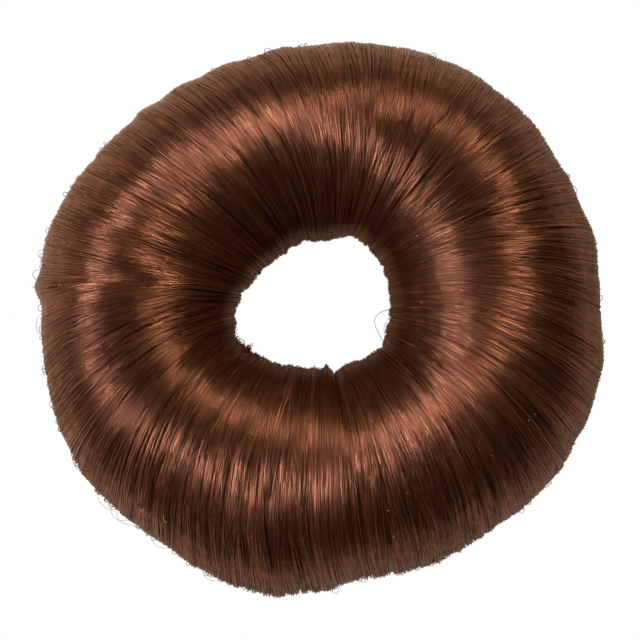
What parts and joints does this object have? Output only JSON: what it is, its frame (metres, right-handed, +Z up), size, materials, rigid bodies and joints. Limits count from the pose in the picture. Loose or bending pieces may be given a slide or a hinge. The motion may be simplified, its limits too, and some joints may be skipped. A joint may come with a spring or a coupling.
{
  "type": "hair donut bun maker",
  "caption": "Padded ring wound crosswise with straight brown synthetic hair and closed by a lock of it; a ponytail goes through its hole and is spread over it as a bun.",
  "frame": {"origin": "centre of the ring's box, on the flat underside that it rests on", "axes": "+Z up through the hole, -Y towards the closing lock, +X to the right with the closing lock in front"},
  "size_m": [0.09, 0.0886, 0.0301],
  "materials": {
    "padding": "matte loose fibre",
    "hair": "satin straight synthetic hair"
  },
  "bodies": {
    "root": {"padding_ring": "padding", "hair_winding": "hair", "closing_lock": "hair"}
  },
  "joints": []
}
